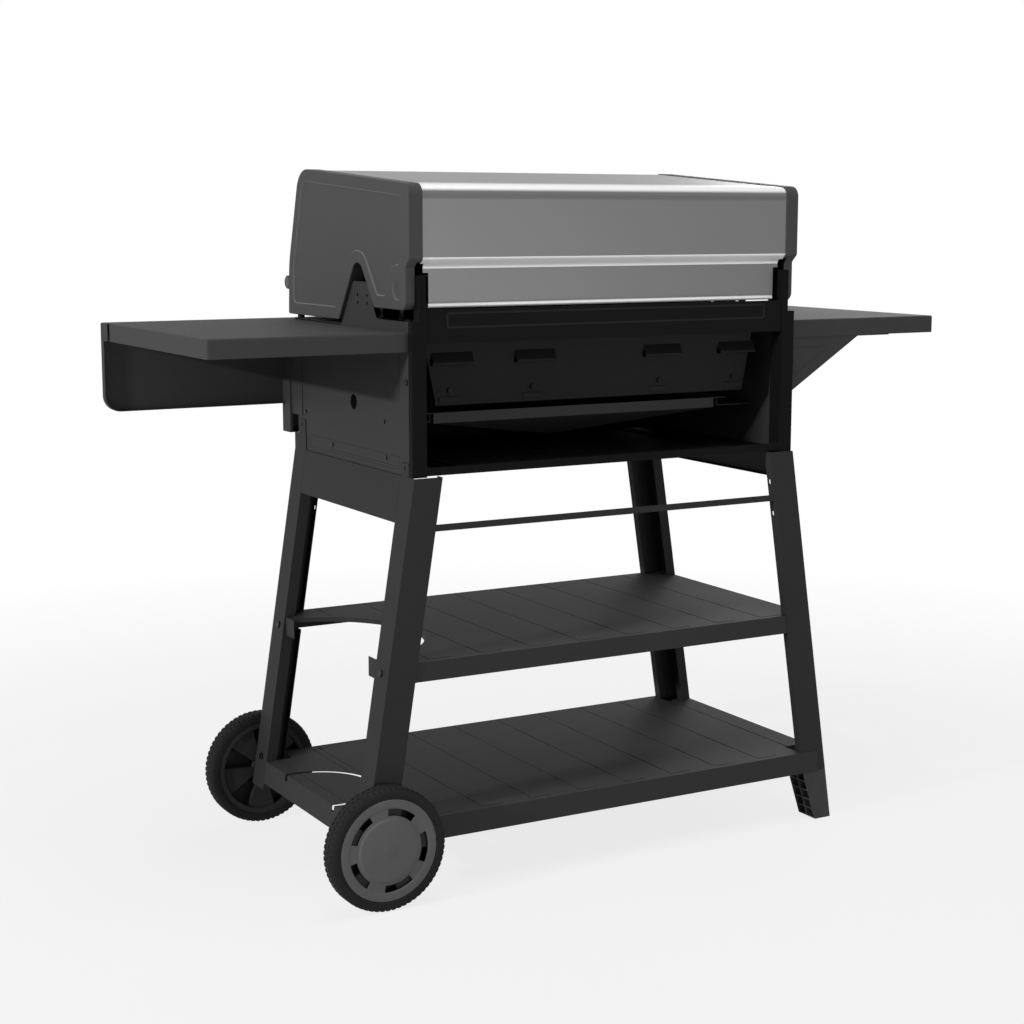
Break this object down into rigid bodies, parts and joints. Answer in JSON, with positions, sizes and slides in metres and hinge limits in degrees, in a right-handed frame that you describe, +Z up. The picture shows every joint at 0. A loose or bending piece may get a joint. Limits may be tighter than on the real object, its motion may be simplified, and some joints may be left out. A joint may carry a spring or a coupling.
{
  "type": "gas grill",
  "caption": "Gas grill on an open splayed-leg cart with a hinged steel lid, fixed side tables, plank shelves, transport wheels, knobs and a slide-out grease tray.",
  "frame": {"origin": "on the floor, at the middle of the grill's outline", "axes": "+Z up; +Y towards the grill's back, so the cook stands on the -Y side; +X towards the cook's right, the end with the wheels"},
  "size_m": [1.392, 0.5842, 1.1546],
  "materials": {
    "black_paint": "satin black powder coat",
    "shelf_paint": "satin black powder coat",
    "black_enamel": "matt heat-proof enamel",
    "lid_steel": "brushed stainless steel",
    "cap_paint": "charcoal grey cast end, satin",
    "handle_steel": "brushed stainless tube",
    "dial_steel": "polished",
    "black_plastic": "grained black nylon",
    "button_red": "satin red",
    "cap_plastic": "mid grey satin",
    "tyre": "moulded tread",
    "bumper_rubber": "matt",
    "zinc_steel": "zinc plated steel",
    "brass": "machined",
    "burner_steel": "heat-stained stainless",
    "grate_iron": "enamelled cast iron",
    "rack_chrome": "chromed wire"
  },
  "bodies": {
    "cart": {"leg_front_right": "black_paint", "leg_front_left": "black_paint", "leg_rear_right": "black_paint", "leg_rear_left": "black_paint", "end_plate_right": "black_paint", "end_plate_left": "black_paint", "rear_brace": "black_paint", "side_panel_right": "black_paint", "side_panel_left": "black_paint", "rear_post_right": "black_paint", "rear_post_left": "black_paint", "back_panel": "black_paint", "base_frame": "black_paint", "base_plate": "black_paint", "side_table_right": "black_paint", "side_table_left": "black_paint", "table_fascia_right": "black_paint", "table_fascia_left": "black_paint", "table_bracket": "black_paint", "control_panel": "black_paint", "control_box_end_right": "black_paint", "control_box_end_left": "black_paint", "lower_shelf": "shelf_paint", "upper_shelf": "shelf_paint", "firebox": "black_enamel", "heat_tents": "black_enamel", "knob_bezels": "dial_steel", "foot_rear_left": "black_plastic", "foot_front_left": "black_plastic", "igniter_body": "black_plastic", "lid_bumpers": "bumper_rubber", "axle": "zinc_steel", "hinge_pins": "zinc_steel", "frame_bolts": "zinc_steel", "panel_screws": "zinc_steel", "manifold": "zinc_steel", "gas_valves": "brass", "gas_inlet": "brass", "burners": "burner_steel", "cooking_grates": "grate_iron", "warming_rack": "rack_chrome"},
    "lid": {"lid_cap_right": "cap_paint", "lid_cap_left": "cap_paint", "lid_skin": "lid_steel", "lid_handle": "handle_steel", "handle_posts": "black_plastic", "thermometer": "dial_steel"},
    "wheel_rear": {"tyre_rear": "tyre", "wheel_hub_rear": "black_plastic", "hub_cap_rear": "cap_plastic"},
    "wheel_front": {"tyre_front": "tyre", "wheel_hub_front": "black_plastic", "hub_cap_front": "cap_plastic"},
    "knob_1": {"burner_knob_1": "black_plastic"},
    "knob_2": {"burner_knob_2": "black_plastic"},
    "knob_3": {"burner_knob_3": "black_plastic"},
    "knob_4": {"burner_knob_4": "black_plastic"},
    "igniter": {"igniter_button": "button_red"},
    "tray": {"grease_tray": "black_enamel"}
  },
  "joints": [
    {"name": "lid_hinge", "type": "hinge", "parent": "cart", "child": "lid", "pos_m": [0, 0.20115, 0.965], "axis": [-1, 0, 0], "range_deg": [0, 85]},
    {"name": "wheel_rear_spin", "type": "hinge", "parent": "cart", "child": "wheel_rear", "pos_m": [0.43494, 0.27215, 0.1], "axis": [0, 1, 0], "continuous": true},
    {"name": "wheel_front_spin", "type": "hinge", "parent": "cart", "child": "wheel_front", "pos_m": [0.43494, -0.24285, 0.1], "axis": [0, 1, 0], "continuous": true},
    {"name": "knob_1_turn", "type": "hinge", "parent": "cart", "child": "knob_1", "pos_m": [-0.2755, -0.27285, 0.804], "axis": [0, -1, 0], "range_deg": [0, 225]},
    {"name": "knob_2_turn", "type": "hinge", "parent": "cart", "child": "knob_2", "pos_m": [-0.1235, -0.27285, 0.804], "axis": [0, -1, 0], "range_deg": [0, 225]},
    {"name": "knob_3_turn", "type": "hinge", "parent": "cart", "child": "knob_3", "pos_m": [0.1235, -0.27285, 0.804], "axis": [0, -1, 0], "range_deg": [0, 225]},
    {"name": "knob_4_turn", "type": "hinge", "parent": "cart", "child": "knob_4", "pos_m": [0.2755, -0.27285, 0.804], "axis": [0, -1, 0], "range_deg": [0, 225]},
    {"name": "igniter_press", "type": "slide", "parent": "cart", "child": "igniter", "axis": [0, 1, 0], "range_m": [0, 0.004], "stiffness_N_per_m": 600},
    {"name": "tray_slide", "type": "slide", "parent": "cart", "child": "tray", "axis": [0, 1, 0], "range_m": [0, 0.18]}
  ]
}
